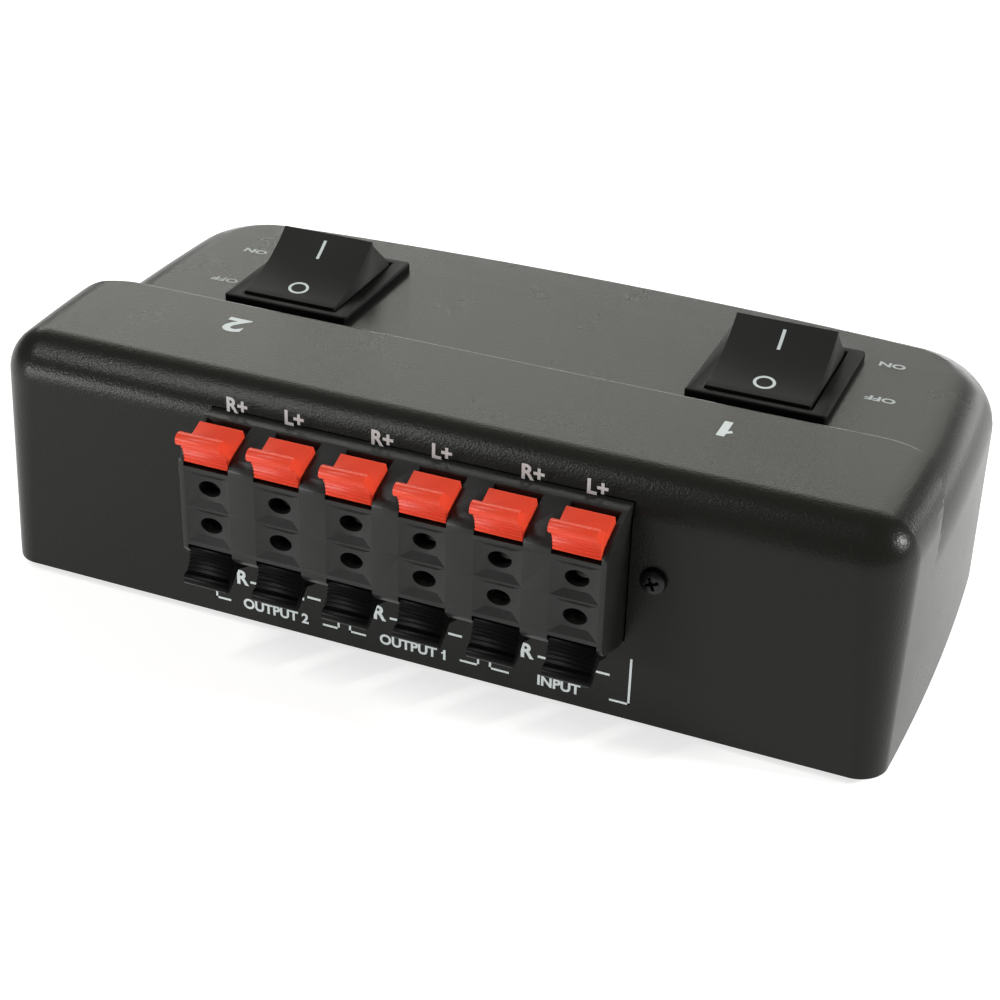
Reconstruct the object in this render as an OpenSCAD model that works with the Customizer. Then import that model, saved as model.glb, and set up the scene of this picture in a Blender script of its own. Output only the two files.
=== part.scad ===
// Speaker selector switch: a small console that sends one amplifier to two pairs of
// speakers. Two rocker switches stand on the low front deck. A block of twelve
// press-lever wire terminals comes out of the rear wall, under a raised ridge.
// Frame: +X is the user's right, +Y is the rear, +Z is up. The origin is in the middle
// of the case's flat underside, and the rubber feet reach below it.

/* [Case] */
// Length of the case
case_l = 167.8; // [162:0.2:190]
// Depth of the case, front to rear wall
case_d = 90; // [86:1:110]
// Height of the ridge above the case's bottom edge
ridge_h = 45.5; // [44:0.5:56]
// Height of the deck above the case's bottom edge
deck_h = 40; // [38:0.5:42]
// Depth of the ridge, from the rear wall to its edge above the deck
ridge_d = 32; // [24:1:34]
// Thickness of the case walls
wall_t = 2.5; // [1.6:0.1:3]
// Rounding between the deck and the outer walls
deck_r = 10; // [4:0.5:12]
// Rounding between the ridge's top and the outer walls
ridge_r = 8; // [4:0.5:10]
// Plan radius of the two rear corners at the case's bottom edge
rear_r = 5; // [3:0.5:8]
// Plan radius of the two rear corners where the top's rounding starts
rear_top_r = 8; // [5:0.5:12]
// Plan radius of the two front corners along the front
front_rx = 17; // [12:1:26]
// Plan radius of the two front corners along the sides
front_ry = 17.5; // [12:0.5:26]
// Plan radius of the ridge's corners above the deck
ridge_corner_r = 13; // [6:1:18]
// How far the front wall bows forward of its ends
front_bow = 3; // [0:0.5:5]
// How far the side walls draw in, half the case's depth from their widest place
side_bow = 2; // [0:0.1:3]
// Distance of the side walls' widest place behind the case's middle
bow_mid = 3; // [0:1:10]
// How far the side walls lean in from the case's bottom to the deck
wall_draft = 0.4; // [0:0.1:1.5]
// Slope of the strip of deck in front of the rockers, in degrees
nose_slope = 2; // [0:0.5:4]

/* [Base] */
// Thickness of the base plate
base_t = 2.5; // [2:0.1:4]
// Height of a foot below the case
foot_h = 1.5; // [1:0.1:3]
// Radius of a foot
foot_r = 6; // [4:0.5:9]
// Depth of the recess that holds a foot
foot_sink = 1; // [0.5:0.1:1.4]
// Foot centres, left to right
foot_pitch_x = 112; // [90:1:124]
// Foot centres, front to rear
foot_pitch_y = 62; // [50:1:66]
// Radius of a case screw's head
screw_head_r = 2.8; // [2.4:0.1:3.2]
// Radius of a case screw's shank
screw_r = 1.45; // [1.2:0.05:1.6]
// Length of a case screw under its head
screw_l = 11; // [8:0.5:16]
// Radius of a screw boss
boss_r = 3.8; // [3.2:0.1:4.5]
// Distance of the bosses from the case's ends
boss_end_x = 11.5; // [10:0.5:16]
// Distance of the rear bosses from the rear wall
boss_rear_y = 12; // [9:0.5:14]
// Distance of the front bosses from the front wall's ends
boss_front_y = 20; // [16:0.5:24]

/* [Terminal block] */
// Distance between neighbouring terminal columns
term_pitch = 13.1; // [12.4:0.1:13.4]
// Number of terminal columns
term_count = 6; // [2:1:6]
// Height of the block's middle above the case's bottom edge
term_h = 28.3; // [24:0.1:29]
// How far the block stands out of the rear wall
term_out = 11; // [9:0.5:12]
// Half the block's height at the rear wall
term_half_h = 12.8; // [12.4:0.1:13.2]
// Radius of the block's rounded top and bottom
term_arc_r = 10.5; // [10:0.1:11.5]
// Length of the block past its end columns' centres
term_end = 5.1; // [4.8:0.1:6]
// Gap between the block and its cut-out in the wall
term_gap = 0.6; // [0.2:0.1:1]
// Distance of the block's screws past the block's ends
term_screw_out = 4.4; // [4:0.1:6]
// Radius of a terminal screw's head
term_screw_head_r = 2.3; // [1.9:0.1:2.6]
// Radius of a terminal screw's shank
term_screw_r = 1.2; // [1:0.05:1.4]
// Height of the wire holes above and below the block's middle
hole_h = 3.6; // [3.5:0.05:3.7]
// Radius of a wire hole
hole_r = 1.95; // [1.5:0.05:2]
// Width of a column's funnels
funnel_w = 8.3; // [7.6:0.1:8.6]
// Height of one funnel
funnel_h = 6.1; // [5.6:0.1:6.3]
// Depth of a funnel
funnel_d = 2; // [1.5:0.1:2.4]

/* [Levers] */
// Width of a press lever
lever_w = 8.1; // [7.4:0.1:8.3]
// Side clearance of a lever in its slot
lever_gap = 0.15; // [0.1:0.05:0.3]
// Radius of a lever's hinge pins
lever_pin_r = 0.9; // [0.7:0.05:1]
// Radial clearance of a hinge pin
pin_clear = 0.05; // [0.02:0.01:0.09]
// Number of ribs on a lever's face
lever_ribs = 6; // [3:1:8]
// Height of a rib
rib_h = 0.3; // [0.1:0.05:0.4]

/* [Rockers] */
// Distance between the two rockers
rocker_pitch = 91.2; // [80:0.2:96]
// Distance of a rocker's middle from the rear wall
rocker_back = 55.5; // [54:0.1:57]
// Width of a rocker's frame
frame_w = 25.5; // [25:0.1:28]
// Length of a rocker's frame
frame_l = 29; // [28.6:0.1:31]
// Thickness of the frame on the deck
frame_t = 1.7; // [1.2:0.1:2]
// Width of the frame's opening
open_w = 19.3; // [18:0.1:19.5]
// Length of the frame's opening
open_l = 25.2; // [25.1:0.1:25.6]
// Thickness of the switch body's side walls
body_wall = 1.2; // [1:0.1:1.6]
// Depth of the switch body under the deck
body_h = 22; // [21.5:0.5:24]
// Side clearance of the actuator in the frame
act_gap = 0.3; // [0.2:0.05:0.5]
// Radius of the actuator's round ends about its pivot
act_r = 13; // [12.4:0.1:13.1]
// Distance of the actuator's top edges from its middle
act_edge_y = 9.2; // [8.6:0.1:9.4]
// Height of the actuator's top edges above its pivot when level
act_edge_z = 10.6; // [10:0.1:10.8]
// Depth of the hollow in the actuator's top
act_dish = 1.4; // [0.6:0.1:2]
// Tilt of the actuator each way from level, in degrees
act_tilt = 21; // [15:0.5:21]
// Depth of the pivot under the top of the frame
pivot_drop = 5.8; // [5.6:0.1:6]
// Radius of the pivot pins
pivot_r = 1.5; // [1.2:0.1:1.8]
// Distance between the two poles of a switch
pole_pitch = 10; // [9:0.2:11]
// Tilt of a contact bridge each way from level, in degrees
bridge_tilt = 9; // [6:0.5:9]
// Width of a spade tab
tab_w = 4.8; // [3:0.1:4.8]
// Length of a spade tab below the switch body
tab_l = 10; // [7:0.5:11]

/* [Wiring] */
// Radius of an insulated wire
wire_r = 0.8; // [0.6:0.05:0.9]

/* [Hidden] */

$fn = 48;
eps = 0.01;         // overreach of a cut past the face it opens
seat = 0.05;        // gap where a piece slips into another
half_l = case_l / 2;
rear_y = case_d / 2;
front_y = -case_d / 2;
bow_span = case_d / 2;

// terminal block
term_half_l = (term_count - 1) / 2 * term_pitch + term_end;
face_y = rear_y + term_out;
arc_reach = 8.5;                    // from the centre of the block's rounding to its face
arc_c = term_out - arc_reach;
arc_z = term_half_h - term_arc_r;
flange_t = 2;
flange_half_h = 9;
flange_half_l = term_half_l + 2 * term_screw_out - 0.4;
front_wall_t = 2;                   // the block's front wall behind the funnels
flange_y = rear_y - wall_t;         // the flange lies against the wall's inner face
block_y = flange_y - flange_t;      // the block's inner end
plate_t = 2;
board_gap = 1.5;
board_t = 1.6;
board_y = block_y - plate_t - board_gap - board_t;
screw_x = term_half_l + term_screw_out;
chamber_y = face_y - funnel_d - front_wall_t;
slot_w = lever_w + 2 * lever_gap;

// levers, in a section whose first number runs out of the wall and second up
pin_out = 8.6;
pin_up = 9.2;
sill_up = 7.6;
slot_back = 2.5;
slot_step_up = 11.2;                // the slot ends under a lip of the block here
chamber_up = 7;
pin_l = 0.6;                        // a hinge pin beside the lever
pin_skin = 0.3;                     // wall left at each end of the pins' bore
lip_r = 1.1;
prong_w = 1.6;
prong_foot = 3.4;

// contacts
strip_t = 0.6;
strip_w = 4.2;
strip_up = 1.0;
tag_gap = 0.1;                      // clearance of a tag in its slot
leaf_top = 6.3;

// rockers
act_gap_end = 0.35;
pivot_z = deck_h + frame_t - pivot_drop;
rocker_y = rear_y - rocker_back;
body_half_w = open_w / 2 + body_wall;
body_half_l = act_r + act_gap_end + body_wall;
panel_gap = 0.1;
body_z = deck_h - body_h;
tab_t = 0.8;
tab_reach = 7;                      // from the middle tab to the outer tab
bridge_drop = 14.25;
bridge_z = pivot_z - bridge_drop;   // the bridges tilt about this height
bridge_vee = 19.5;                  // rise of a bridge's arms, in degrees
bridge_t = 0.6;
bridge_w = 3.4;
plunger_tip = 13.0;                 // from the pivot to a plunger's tip
plunger_r = 1.5;
plunger_tip_r = 1;
plunger_l = 9.5;
tip_l = 3;
hub_r = 2.7;
hub_drop = 8;
act_end_drop = 1.4;                 // the round ends start this far under the top edges
pivot_hub_t = 0.8;
body_floor_t = 1.6;

// ---------- outline of the case in plan ----------

function arc_pts(cx, cy, rx, ry, a0, a1, n) =
    [for (i = [0 : n]) let (a = a0 + (a1 - a0) * i / n) [cx + rx * cos(a), cy + ry * sin(a)]];

// the side walls draw in a little towards the front and the rear
function bowed(p) =
    [p[0] * (1 - side_bow / half_l * pow((p[1] - bow_mid) / bow_span, 2)), p[1]];

// right half of the outline, from the front's middle to the rear wall, drawn in by d, with
// a rear corner radius of r where d is zero and sides that lean in by t
function half_outline(d, r, t) =
    let (hx = half_l - t, ax = front_rx - d, ay = front_ry - d, cx = hx - front_rx,
         cy = front_y + front_bow + front_ry, rr = max(r - d, 1),
         rx = hx - d - rr, ry = rear_y - d - rr)
    concat(
        [for (i = [0 : 5]) let (x = cx * i / 6) [x, front_y + d + front_bow * pow(x / cx, 2)]],
        arc_pts(cx, cy, ax, ay, -90, 0, 10),
        [for (i = [1 : 4]) [hx - d, cy + (ry - cy) * i / 5]],
        arc_pts(rx, ry, rr, rr, 0, 90, 6));

module plan(d, r = rear_r, t = 0) {
    right = [for (p = half_outline(d, r, t)) bowed(p)];
    left = [for (i = [len(right) - 1 : -1 : 1]) [-right[i][0], right[i][1]]];
    polygon(concat(right, left));
}

// a solid on the case's outline whose top edge is rounded by r
module rounded_block(d, z0, z1, r) {
    steps = 7;
    rim = 1;                        // the walls lean in from this height on
    hull() {
        translate([0, 0, z0]) linear_extrude(rim) plan(d);
        for (i = [0 : steps]) {
            a = 90 * i / steps;
            h = z1 - z0 - r * (1 - sin(a));
            translate([0, 0, z0]) linear_extrude(h)
                plan(d + r * (1 - cos(a)), rear_top_r, wall_draft * (h - rim) / deck_h);
        }
    }
}

// plan of the ridge, with round corners above the deck, drawn in by d
module ridge_plan(d) {
    r = ridge_corner_r - d;
    y0 = rear_y - ridge_d + d;
    hx = half_l - wall_draft - d;
    polygon(concat(
        [[hx + 1, rear_y + 1], [-hx - 1, rear_y + 1], [-hx - 1, y0 + r], [-hx, y0 + r]],
        arc_pts(-hx + r, y0 + r, r, r, 180, 270, 12),
        arc_pts(hx - r, y0 + r, r, r, 270, 360, 12),
        [[hx, y0 + r], [hx + 1, y0 + r]]));
}

// solid form of the case: the ridge block cut to the ridge's plan, and the deck block
module case_form(d, z0) {
    intersection() {
        rounded_block(d, z0, ridge_h - d, max(ridge_r - d, 1));
        translate([0, 0, z0 - 1]) linear_extrude(ridge_h + 2) ridge_plan(d);
    }
    rounded_block(d, z0, deck_h - d, max(deck_r - d, 1));
}

module boss_places() {
    for (side = [0, 1]) mirror([side, 0, 0]) {
        translate([half_l - boss_end_x, rear_y - boss_rear_y, 0]) children();
        translate([half_l - boss_end_x, front_y + boss_front_y, 0]) children();
    }
}

module rocker_place(n) {
    translate([(n == 1 ? -1 : 1) * rocker_pitch / 2, rocker_y, 0]) children();
}

module column_place(i) {
    translate([((term_count - 1) / 2 - i) * term_pitch, rear_y, term_h]) children();
}

// turns a section (out of the wall, up) into a solid of width w about the column
module across(w) {
    rotate([90, 0, 90]) linear_extrude(w, center = true) children();
}

// ---------- case ----------

module top_cover() {
    crease_y = rocker_y - frame_l / 2;
    rib_t = 1.2;
    color([0.24, 0.24, 0.23]) difference() {
        case_form(0, 0);
        difference() {
            case_form(wall_t, -1);
            // what stays inside: a screw boss in each corner, with a rib to the side wall
            boss_places() translate([0, 0, base_t]) {
                cylinder(r = boss_r, h = ridge_h);
                translate([0, -rib_t / 2, 0]) cube([boss_end_x, rib_t, ridge_h]);
            }
        }
        // the strip in front of the rockers slopes down to the front
        translate([0, crease_y, deck_h]) rotate([nose_slope, 0, 0])
            translate([-half_l - 1, -case_d, 0]) cube([case_l + 2, case_d, 10]);
        boss_places() translate([0, 0, base_t - 1]) cylinder(r = screw_r + seat, h = screw_l + 1);
        for (n = [1, 2]) rocker_place(n)
            translate([-body_half_w - panel_gap, -body_half_l - panel_gap, deck_h - wall_t - 2])
                cube([2 * (body_half_w + panel_gap), 2 * (body_half_l + panel_gap), wall_t + 4]);
        translate([-term_half_l - term_gap, flange_y - 1, term_h - term_half_h - term_gap])
            cube([2 * (term_half_l + term_gap), wall_t + 3, 2 * (term_half_h + term_gap)]);
        for (sx = [-1, 1]) translate([sx * screw_x, rear_y + 1, term_h])
            rotate([90, 0, 0]) cylinder(r = term_screw_r + 0.2, h = wall_t + 2);
    }
}

module base_plate() {
    color([0.2, 0.2, 0.2]) difference() {
        linear_extrude(base_t) plan(wall_t + 0.2);
        boss_places() translate([0, 0, -1]) cylinder(r = screw_r + 0.25, h = base_t + 2);
        boss_places() translate([0, 0, -1]) cylinder(r = screw_head_r + 0.3, h = 2.1);
        for (sx = [-1, 1], sy = [-1, 1])
            translate([sx * foot_pitch_x / 2, sy * foot_pitch_y / 2, -1])
                cylinder(r = foot_r + seat, h = foot_sink + 1);
    }
}

module case_screws() {
    head_t = 1;
    head_z = 1.1;                   // the head's seat in the counterbore
    color([0.35, 0.35, 0.36]) boss_places() difference() {
        union() {
            translate([0, 0, head_z - head_t]) cylinder(r = screw_head_r, h = head_t);
            translate([0, 0, head_z]) cylinder(r = screw_r, h = screw_l - 1.5);
        }
        for (a = [0, 90]) translate([0, 0, head_z - head_t]) rotate([0, 0, a])
            cube([3, 0.6, 1], center = true);
    }
}

module rubber_feet() {
    color([0.1, 0.1, 0.1]) for (sx = [-1, 1], sy = [-1, 1])
        translate([sx * foot_pitch_x / 2, sy * foot_pitch_y / 2, -foot_h]) {
            cylinder(r1 = foot_r - 0.5, r2 = foot_r, h = 0.5);
            translate([0, 0, 0.5]) cylinder(r = foot_r, h = foot_h + foot_sink - 0.5);
        }
}

// ---------- terminal block ----------

// half of the block's section above its middle
function block_half() =
    let (a0 = acos((term_out - arc_c) / term_arc_r))
    concat([[-wall_t - flange_t, 0], [term_out, 0]],
        arc_pts(arc_c, arc_z, term_arc_r, term_arc_r, a0, 90, 8),
        [[-wall_t + 1.5, term_half_h], [-wall_t + 0.5, flange_half_h],
         [-wall_t - flange_t, flange_half_h]]);

module both_ways() {
    children();
    mirror([0, 0, 1]) children();
}

// a four-sided funnel that narrows from its mouth in the face to a square round a hole
module funnel() {
    w = funnel_w / 2;
    h = funnel_h / 2;
    r = hole_r + 0.35;
    m = eps;
    pts = [[-w, m, -h], [w, m, -h], [w, m, h], [-w, m, h],
        [-r, -funnel_d, -r], [r, -funnel_d, -r], [r, -funnel_d, r], [-r, -funnel_d, r]];
    polyhedron(pts, [[0, 1, 2, 3], [7, 6, 5, 4], [4, 5, 1, 0], [5, 6, 2, 1],
        [6, 7, 3, 2], [7, 4, 0, 3]]);
}

// space for one lever and its contact, above the block's middle
module lever_chamber() {
    inner = -wall_t - flange_t - 1;
    front = chamber_y - rear_y;
    low = strip_up - 0.3;
    across(slot_w) polygon([
        [inner, low], [front, low], [front, sill_up], [term_out + 1, sill_up],
        [term_out + 1, term_half_h + 2], [slot_back, term_half_h + 2],
        [slot_back, slot_step_up], [-0.5, slot_step_up], [-0.5, chamber_up],
        [inner, chamber_up]]);
}

module terminal_housing() {
    color([0.16, 0.16, 0.16]) difference() {
        union() {
            translate([0, rear_y, term_h]) both_ways() across(2 * term_half_l)
                polygon(block_half());
            translate([-flange_half_l, block_y, term_h - flange_half_h])
                cube([2 * flange_half_l, flange_t, 2 * flange_half_h]);
        }
        for (i = [0 : term_count - 1]) column_place(i) both_ways() {
            lever_chamber();
            translate([0, term_out, hole_h]) funnel();
            translate([0, term_out + 1, hole_h]) rotate([90, 0, 0])
                cylinder(r = hole_r, h = face_y + 1 - chamber_y + eps);
        }
        // one straight bore holds the hinge pins of a row of levers
        translate([0, rear_y, term_h]) both_ways()
            translate([-term_half_l + pin_skin, pin_out, pin_up]) rotate([0, 90, 0])
                cylinder(r = lever_pin_r + pin_clear, h = 2 * (term_half_l - pin_skin));
        for (sx = [-1, 1]) translate([sx * screw_x, rear_y, term_h])
            rotate([90, 0, 0]) cylinder(r = term_screw_r + seat, h = 10);
    }
}

module terminal_backplate() {
    color([0.3, 0.28, 0.25]) difference() {
        translate([-term_half_l, block_y - plate_t, term_h - flange_half_h])
            cube([2 * term_half_l, plate_t, 2 * flange_half_h]);
        tag_slots();
    }
}

module circuit_board() {
    color([0.12, 0.35, 0.2]) difference() {
        translate([-term_half_l, board_y, term_h - flange_half_h - 1])
            cube([2 * term_half_l, board_t, 2 * flange_half_h + 2]);
        tag_slots();
    }
}

// slots in the plate and the board that the contacts' tags pass through
module tag_slots() {
    for (i = [0 : term_count - 1]) column_place(i) both_ways()
        translate([-strip_w / 2 - tag_gap, -15, strip_up - tag_gap])
            cube([strip_w + 2 * tag_gap, 12, strip_t + 2 * tag_gap]);
}

// one contact: a tag through the plate and board, a bar under the wire, and a leaf that
// slants back across the wire hole
module contact() {
    tag_end = board_y - rear_y - 0.8;
    bar_end = chamber_y - rear_y - 0.5;
    color([0.78, 0.66, 0.4]) across(strip_w) polygon([
        [tag_end, strip_up], [bar_end, strip_up], [bar_end, strip_up + strip_t],
        [bar_end - strip_t, strip_up + 1.4], [1.6, leaf_top], [0.9, leaf_top],
        [0.9, leaf_top - 0.4], [bar_end - 1.7, strip_up + strip_t],
        [tag_end, strip_up + strip_t]]);
}

module upper_contacts() {
    for (i = [0 : term_count - 1]) column_place(i) contact();
}

module lower_contacts() {
    for (i = [0 : term_count - 1]) column_place(i) mirror([0, 0, 1]) contact();
}

module terminal_screws() {
    head_t = 1.5;
    color([0.15, 0.15, 0.15]) for (sx = [-1, 1]) translate([sx * screw_x, rear_y, term_h])
        difference() {
            union() {
                rotate([-90, 0, 0]) cylinder(r = term_screw_head_r, h = 0.7);
                translate([0, 0.7, 0]) rotate([-90, 0, 0]) cylinder(r1 = term_screw_head_r,
                    r2 = term_screw_head_r - 0.7, h = head_t - 0.7);
                rotate([90, 0, 0]) cylinder(r = term_screw_r, h = 8);
            }
            for (a = [0, 90]) rotate([0, a, 0]) translate([0, head_t, 0])
                cube([2.6, 1.6, 0.55], center = true);
        }
}

// ---------- press levers ----------

// the ribbed face runs as a hollow curve from under the lip down to the lever's foot
function rib_face() =
    let (a = [12.0, 12.35], b = [10.75, 8.35], n = 2 * lever_ribs)
    [for (i = [0 : n]) let (t = i / n, s = 4 * t * (1 - t) * 0.45)
        [a[0] + (b[0] - a[0]) * t - s + (i % 2 == 1 ? rib_h : 0), a[1] + (b[1] - a[1]) * t]];

module lever_head() {
    polygon(concat([[5.2, 13.2], [12.1, 14.55], [12.9, 13.5]], rib_face(),
        [[10.4, 8.1], [7.9, 8.1], [6.6, 8.4], [5.4, 7.4], [3.6, 7.4], [3.6, 9.2]]));
}

module lever() {
    across(lever_w) lever_head();
    translate([-lever_w / 2, 12.3, 13.45]) rotate([0, 90, 0]) cylinder(r = lip_r, h = lever_w);
    // two prongs reach down beside the wire, behind the block's front wall
    for (s = [-1, 1]) translate([s * (lever_w - prong_w) / 2, 0, 0]) across(prong_w)
        polygon([[3.6, sill_up], [5.4, sill_up], [5.1, prong_foot], [4.3, prong_foot]]);
    translate([-lever_w / 2 - pin_l, pin_out, pin_up]) rotate([0, 90, 0])
        cylinder(r = lever_pin_r, h = lever_w + 2 * pin_l);
}

module red_lever(i) {
    color([0.93, 0.28, 0.16]) column_place(i - 1) lever();
}

module black_lever(i) {
    color([0.1, 0.1, 0.1]) column_place(i - 1) mirror([0, 0, 1]) lever();
}

// ---------- rocker switches ----------

module rounded_frame() {
    r = 0.8;
    x = frame_w / 2 - r;
    y = frame_l / 2 - r;
    linear_extrude(frame_t) union() {
        square([2 * x, frame_l], center = true);
        square([frame_w, 2 * y], center = true);
        for (sx = [-1, 1], sy = [-1, 1]) translate([sx * x, sy * y]) circle(r);
    }
}

module rocker_housing(n) {
    inner_l = 2 * (body_half_l - body_wall);
    snap_out = 0.7;
    snap_rise = 6;
    snap_w = 8;
    slot_l = tab_w + 2 * tag_gap;
    slot_t = tab_t + 2 * tag_gap;
    color([0.1, 0.1, 0.1]) rocker_place(n) {
        difference() {
            union() {
                translate([0, 0, deck_h]) rounded_frame();
                translate([-body_half_w, -body_half_l, body_z])
                    cube([2 * body_half_w, 2 * body_half_l, body_h + eps]);
                // two snap wedges catch under the deck
                for (s = [0, 180]) rotate([0, 0, s])
                    translate([0, body_half_l, deck_h - wall_t - 0.2]) rotate([90, 0, 90])
                        linear_extrude(snap_w, center = true)
                            polygon([[-eps, 0], [snap_out, 0], [-eps, -snap_rise]]);
            }
            translate([-open_w / 2, -open_l / 2, deck_h - 1]) cube([open_w, open_l, frame_t + 2]);
            translate([-open_w / 2, -inner_l / 2, body_z + body_floor_t])
                cube([open_w, inner_l, body_h - body_floor_t]);
            translate([-body_half_w - 1, 0, pivot_z]) rotate([0, 90, 0])
                cylinder(r = pivot_r + pin_clear, h = 2 * body_half_w + 2);
            for (s = [-1, 1], y = [0, tab_reach])
                translate([s * pole_pitch / 2 - slot_l / 2, y - slot_t / 2, body_z - 1])
                    cube([slot_l, slot_t, body_floor_t + 2]);
        }
        // a step under the front arms stops the bridges when the switch is off
        for (s = [-1, 1]) translate([s * pole_pitch / 2 - bridge_w / 2, -tab_reach, body_z])
            cube([bridge_w, 1.5, arm_rest(tab_reach - 1.5) - body_z]);
    }
}

// section of the actuator about its pivot, when level
function act_half(t) =
    let (ey = act_edge_y - t, ez = act_edge_z - 1.1 * t, r = act_r - t,
         a0 = asin((act_edge_z - act_end_drop) / act_r))
    concat([[ey, ez]], arc_pts(0, 0, r, r, a0, -6, 8));

function act_top(t) =
    let (n = 10, ey = act_edge_y - t, ez = act_edge_z - 1.1 * t)
    [for (i = [1 : n - 1]) let (y = -ey + 2 * ey * i / n) [y, ez - act_dish * (1 - pow(y / ey, 2))]];

module act_section(t, foot = []) {
    half = concat(act_half(t), foot);
    polygon(concat(act_top(t), half,
        [for (i = [len(half) - 1 : -1 : 0]) [-half[i][0], half[i][1]]]));
}

// puts the level actuator at its pivot, tilted to the off position
module actuator_place(n) {
    rocker_place(n) translate([0, 0, pivot_z]) rotate([-act_tilt, 0, 0]) children();
}

module rocker_actuator(n) {
    w = open_w - 2 * act_gap;
    skin = 1.6;
    color([0.08, 0.08, 0.08]) actuator_place(n) difference() {
        union() {
            difference() {
                across(w) act_section(0);
                across(w - 2 * skin) act_section(skin, [[act_r - skin, -act_r]]);
            }
            translate([-w / 2, 0, 0]) rotate([0, 90, 0]) cylinder(r = pivot_r + pivot_hub_t, h = w);
            translate([-body_half_w, 0, 0]) rotate([0, 90, 0])
                cylinder(r = pivot_r, h = 2 * body_half_w);
            for (s = [-1, 1]) translate([s * pole_pitch / 2, 0, -hub_drop])
                cylinder(r = hub_r, h = hub_drop + 5);
        }
        for (s = [-1, 1]) translate([s * pole_pitch / 2, 0, -hub_drop - 1])
            cylinder(r = plunger_r + seat, h = hub_drop + 3);
    }
}

module rocker_plungers(n) {
    color([0.9, 0.9, 0.86]) actuator_place(n) for (s = [-1, 1])
        translate([s * pole_pitch / 2, 0, -plunger_tip]) {
            translate([0, 0, plunger_tip_r]) {
                sphere(r = plunger_tip_r);
                cylinder(r = plunger_tip_r, h = tip_l);
            }
            translate([0, 0, tip_l]) cylinder(r = plunger_r, h = plunger_l - tip_l);
        }
}

// the coil springs above the plungers, as the sleeve that each coil fills
module rocker_springs(n) {
    top = 2;
    foot = plunger_l - plunger_tip;
    color([0.7, 0.7, 0.72]) actuator_place(n) for (s = [-1, 1])
        translate([s * pole_pitch / 2, 0, foot]) difference() {
            cylinder(r = plunger_r - 0.1, h = top - foot);
            translate([0, 0, -1]) cylinder(r = plunger_r - 0.5, h = top - foot + 2);
        }
}

// height just under the arm that is down, at a distance y from the middle tab
function arm_rest(y) = bridge_z + y * tan(bridge_vee - bridge_tilt) - 0.1;

// V-shaped contact bridges that rock on the middle tabs
module rocker_bridges(n) {
    arm = 8;
    color([0.8, 0.55, 0.35]) rocker_place(n) translate([0, 0, bridge_z]) rotate([bridge_tilt, 0, 0])
        for (s = [-1, 1]) translate([s * pole_pitch / 2, 0, 0]) across(bridge_w) {
            polygon([[-arm, arm * tan(bridge_vee)], [0, 0], [arm, arm * tan(bridge_vee)],
                [arm, arm * tan(bridge_vee) + bridge_t], [0, bridge_t],
                [-arm, arm * tan(bridge_vee) + bridge_t]]);
        }
}

module rocker_tabs(n) {
    color([0.8, 0.8, 0.78]) rocker_place(n) for (s = [-1, 1]) translate([s * pole_pitch / 2, 0, 0]) {
        for (y = [0, tab_reach]) difference() {
            translate([-tab_w / 2, y - tab_t / 2, body_z - tab_l])
                cube([tab_w, tab_t, arm_rest(max(y - tab_t / 2, 0)) - body_z + tab_l]);
            translate([0, y, body_z - tab_l + 2.6]) rotate([90, 0, 0])
                cylinder(r = 0.8, h = 3, center = true);
        }
    }
}

// ---------- wiring ----------

function bez(p, t) = pow(1 - t, 3) * p[0] + 3 * pow(1 - t, 2) * t * p[1]
    + 3 * (1 - t) * t * t * p[2] + t * t * t * p[3];
function bez_dir(p, t) = let (v = 3 * pow(1 - t, 2) * (p[1] - p[0])
    + 6 * (1 - t) * t * (p[2] - p[1]) + 3 * t * t * (p[3] - p[2])) v / norm(v);

// a round wire along a cubic curve, as one tube with a ring at each step
module wire(p) {
    rings = 16;
    sides = 8;
    side = [1, 0, 0];
    pts = [for (i = [0 : rings]) let (t = i / rings, c = bez(p, t), d = bez_dir(p, t),
        u = cross(d, side) / norm(cross(d, side)), v = cross(d, u))
        for (k = [0 : sides - 1]) let (a = 360 * k / sides) c + wire_r * (u * cos(a) + v * sin(a))];
    quads = [for (i = [0 : rings - 1], k = [0 : sides - 1]) let (a = i * sides + k,
        b = i * sides + (k + 1) % sides) [[a, b, b + sides], [a, b + sides, a + sides]]];
    faces = concat([for (q = quads) q[0]], [for (q = quads) q[1]],
        [[for (k = [sides - 1 : -1 : 0]) k], [for (k = [0 : sides - 1]) rings * sides + k]]);
    polyhedron(pts, faces);
}

// two wires feed the middle tabs and two come back from the outer tabs
module rocker_wires(n) {
    tab_foot = body_z - tab_l;
    low_z = term_h - 4;
    high_z = term_h + 5;
    tab_face = rocker_y + tab_reach + tab_t / 2;
    mirror([n == 1 ? 1 : 0, 0, 0]) for (s = [-1, 1]) {
        x = rocker_pitch / 2 + s * pole_pitch / 2;
        feed_x = rocker_pitch / 2 - 14 + 3 * s;
        back_x = rocker_pitch / 2 - 26 + 3 * s;
        color([0.75, 0.1, 0.1]) wire([[feed_x, board_y, low_z], [feed_x, board_y - 18, low_z],
            [x, rocker_y, tab_foot - 12], [x, rocker_y, tab_foot]]);
        color([0.85, 0.85, 0.8]) wire([[back_x, board_y, high_z], [back_x, board_y - 16, high_z],
            [x, tab_face + 20, tab_foot + 5], [x, tab_face, tab_foot + 5]]);
    }
}

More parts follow.
